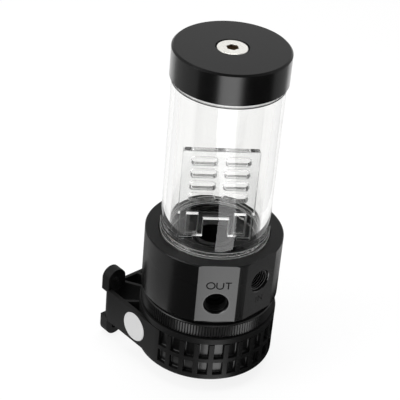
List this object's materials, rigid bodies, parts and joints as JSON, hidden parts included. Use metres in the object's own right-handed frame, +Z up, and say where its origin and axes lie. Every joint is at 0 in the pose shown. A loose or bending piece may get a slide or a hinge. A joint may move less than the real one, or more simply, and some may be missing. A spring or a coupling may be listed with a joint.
{
  "type": "coolant pump reservoir",
  "caption": "Liquid-cooling pump with a clear reservoir tube, screw cap and fill plug, two threaded ports and a wall bracket with four screw ears.",
  "frame": {"origin": "centre of the four screw holes in the bracket's wall face", "axes": "+Z up along the pump and tube, +Y from the pump into the wall, the IN port faces about -Y"},
  "size_m": [0.0775, 0.0862, 0.1956],
  "materials": {
    "black_acetal": "satin turned acetal",
    "black_rubber": "matt",
    "bright_plug": "satin silver plating",
    "clear_acrylic": "polished clear acrylic",
    "ring_plastic": "satin moulded",
    "motor_plastic": "satin moulded",
    "stainless_steel": "drawn and polished",
    "white_ceramic": "polished",
    "bearing_carbon": "ground",
    "ferrite_magnet": "ground and coated",
    "impeller_plastic": "moulded",
    "laminated_steel": "stamped sheets",
    "copper_winding": "enamelled wire",
    "circuit_board": "solder mask",
    "chip_plastic": "moulded",
    "moulded_plastic": "satin moulded",
    "badge_metal": "fine brushed"
  },
  "bodies": {
    "base": {"mount_bracket": "moulded_plastic", "badge_disc": "badge_metal", "motor_housing": "motor_plastic", "motor_cover": "motor_plastic", "separation_can": "stainless_steel", "bearing_post": "stainless_steel", "bearing_ball": "white_ceramic", "stator_core": "laminated_steel", "stator_coils": "copper_winding", "circuit_board": "circuit_board", "board_components": "chip_plastic", "cable_grommet": "black_rubber", "vibration_sleeve": "black_rubber", "base_pad": "black_rubber", "pump_seal": "black_rubber"},
    "rotor": {"impeller": "impeller_plastic", "rotor_magnet": "ferrite_magnet", "bearing_cup": "bearing_carbon"},
    "clamp_nut": {"clamp_ring": "ring_plastic"},
    "head": {"pump_top": "black_acetal", "reservoir_tube": "clear_acrylic", "tube_base_seal": "black_rubber", "anti_vortex_baffle": "clear_acrylic"},
    "cap_gasket": {"cap_seal": "black_rubber"},
    "cap": {"top_cap": "black_acetal"},
    "plug_gasket": {"fill_plug_seal": "black_rubber"},
    "plug": {"fill_plug": "bright_plug"}
  },
  "joints": [
    {"name": "impeller_spin", "type": "hinge", "parent": "base", "child": "rotor", "pos_m": [0, -0.0476, 0.0254], "axis": [0, 0, 1], "continuous": true},
    {"name": "clamp_ring_turn", "type": "hinge", "parent": "base", "child": "clamp_nut", "pos_m": [0, -0.0476, 0.0189], "axis": [0, 0, 1], "range_deg": [-900, 0]},
    {"name": "head_lift", "type": "slide", "parent": "base", "child": "head", "axis": [0, 0, 1], "range_m": [0, 0.00375]},
    {"name": "cap_rise", "type": "slide", "parent": "head", "child": "cap_gasket", "axis": [0, 0, 1], "range_m": [0, 0.008]},
    {"name": "cap_turn", "type": "hinge", "parent": "cap_gasket", "child": "cap", "pos_m": [0, -0.0476, 0.1639], "axis": [0, 0, 1], "range_deg": [0, 1440]},
    {"name": "plug_rise", "type": "slide", "parent": "cap", "child": "plug_gasket", "axis": [0, 0, 1], "range_m": [0, 0.00735]},
    {"name": "plug_turn", "type": "hinge", "parent": "plug_gasket", "child": "plug", "pos_m": [0, -0.0476, 0.1689], "axis": [0, 0, 1], "range_deg": [0, 1980]}
  ],
  "couplings": [
    {"joint": "clamp_ring_turn", "follows": "head_lift", "rad_per_m": -4188.8},
    {"joint": "cap_rise", "follows": "cap_turn", "m_per_rad": 0.00031831},
    {"joint": "plug_rise", "follows": "plug_turn", "m_per_rad": 0.00021279}
  ]
}
